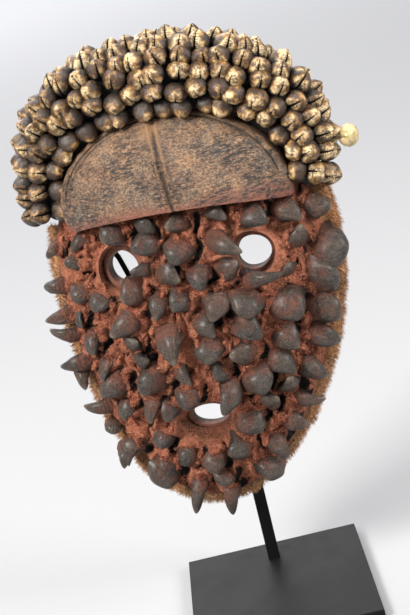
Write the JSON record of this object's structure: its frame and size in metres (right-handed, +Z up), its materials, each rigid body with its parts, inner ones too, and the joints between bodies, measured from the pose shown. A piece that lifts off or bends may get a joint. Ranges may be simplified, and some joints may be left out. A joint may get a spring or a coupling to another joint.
{
  "type": "mask on stand",
  "caption": "Carved wooden spirit mask covered in horns set in red paste, with a cowrie shell headdress and a hide border, held on an iron stand",
  "frame": {"origin": "centre of the foot plate's flat underside", "axes": "+Z up through the stand, the mask looks along -Y (a little towards -X), +X to the viewer's right"},
  "size_m": [0.2657, 0.15, 0.4749],
  "materials": {
    "stand_iron": "satin black paint on iron, scuffed on the plate",
    "carved_wood": "worn brown patina with dark crust and reddish lower edge",
    "red_paste": "dry terracotta-red paste, crumbly and cracked",
    "dark_horn": "grey-brown horn, satin, dusted with red paste",
    "cowrie_shell": "golden polished shell with dark grime in the slits",
    "dark_cloth": "dark padded cloth, coarse weave",
    "animal_hide": "brown hide with short tan hair"
  },
  "bodies": {
    "root": {"stand_plate": "stand_iron", "stand_upright": "stand_iron", "stand_cradle": "stand_iron", "mask_wood": "carved_wood", "face_crust": "red_paste", "headdress_pad": "dark_cloth", "loose_cowrie": "cowrie_shell", "hide_border": "animal_hide", "horn_nose": "dark_horn", "horn_over_mouth": "dark_horn", "horn_at_left_eye": "dark_horn", "horn_at_right_eye": "dark_horn", "horn_under_right_eye": "dark_horn", "horn_right_thorn": "dark_horn", "horn_chin_left": "dark_horn", "horn_chin_right": "dark_horn", "horn_block": "dark_horn", "horn_edge_spike_1": "dark_horn", "horn_edge_spike_2": "dark_horn", "horn_edge_spike_3": "dark_horn", "horn_edge_spike_4": "dark_horn", "horn_edge_spike_5": "dark_horn", "horn_edge_spike_6": "dark_horn", "cowrie_row_1": "cowrie_shell", "cowrie_row_2": "cowrie_shell", "cowrie_row_3": "cowrie_shell", "cowrie_row_4": "cowrie_shell", "cowrie_row_5": "cowrie_shell", "cowrie_row_6": "cowrie_shell", "cowrie_row_7": "cowrie_shell"}
  },
  "joints": []
}
